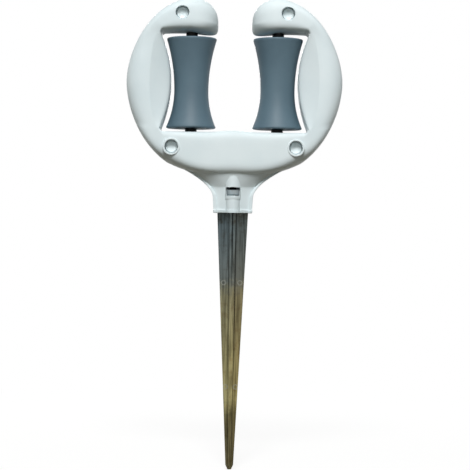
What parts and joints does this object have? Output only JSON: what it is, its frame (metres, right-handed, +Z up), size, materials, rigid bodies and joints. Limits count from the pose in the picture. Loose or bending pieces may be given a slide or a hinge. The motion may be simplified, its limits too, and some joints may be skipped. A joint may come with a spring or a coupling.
{
  "type": "hose guide stake",
  "caption": "Garden hose guide stake with a horseshoe head moulded in halves, hourglass rollers that spin on upright axles beside the hose, and a cast ground spike of cross section.",
  "frame": {"origin": "on the spike's axis at the ground line, where the underside of the neck rests on the soil", "axes": "+Z up along the spike's axis, +X along the line between the roller axes, -Y out of the front half with the screw plugs"},
  "size_m": [0.14, 0.034, 0.305],
  "materials": {
    "shell": "moulded, satin, pale grey",
    "roller": "moulded, satin, slate grey",
    "axle": "drawn bright bar",
    "bush": "moulded, black",
    "screw": "zinc plated",
    "plug": "moulded, gloss, pale grey",
    "spike": "as cast, dull, yellowish"
  },
  "bodies": {
    "head": {"front_shell": "shell", "rear_shell": "shell", "left_axle": "axle", "right_axle": "axle", "top_left_screw": "screw", "top_right_screw": "screw", "bottom_left_screw": "screw", "bottom_right_screw": "screw", "top_left_plug": "plug", "top_right_plug": "plug", "bottom_left_plug": "plug", "bottom_right_plug": "plug", "spike": "spike"},
    "left_roller": {"left_roller": "roller", "left_top_bush": "bush", "left_bottom_bush": "bush"},
    "right_roller": {"right_roller": "roller", "right_top_bush": "bush", "right_bottom_bush": "bush"}
  },
  "joints": [
    {"name": "left_roller_spin", "type": "hinge", "parent": "head", "child": "left_roller", "pos_m": [-0.028, 0, 0.0838], "axis": [0, 0, 1], "continuous": true},
    {"name": "right_roller_spin", "type": "hinge", "parent": "head", "child": "right_roller", "pos_m": [0.028, 0, 0.0838], "axis": [0, 0, 1], "continuous": true}
  ]
}
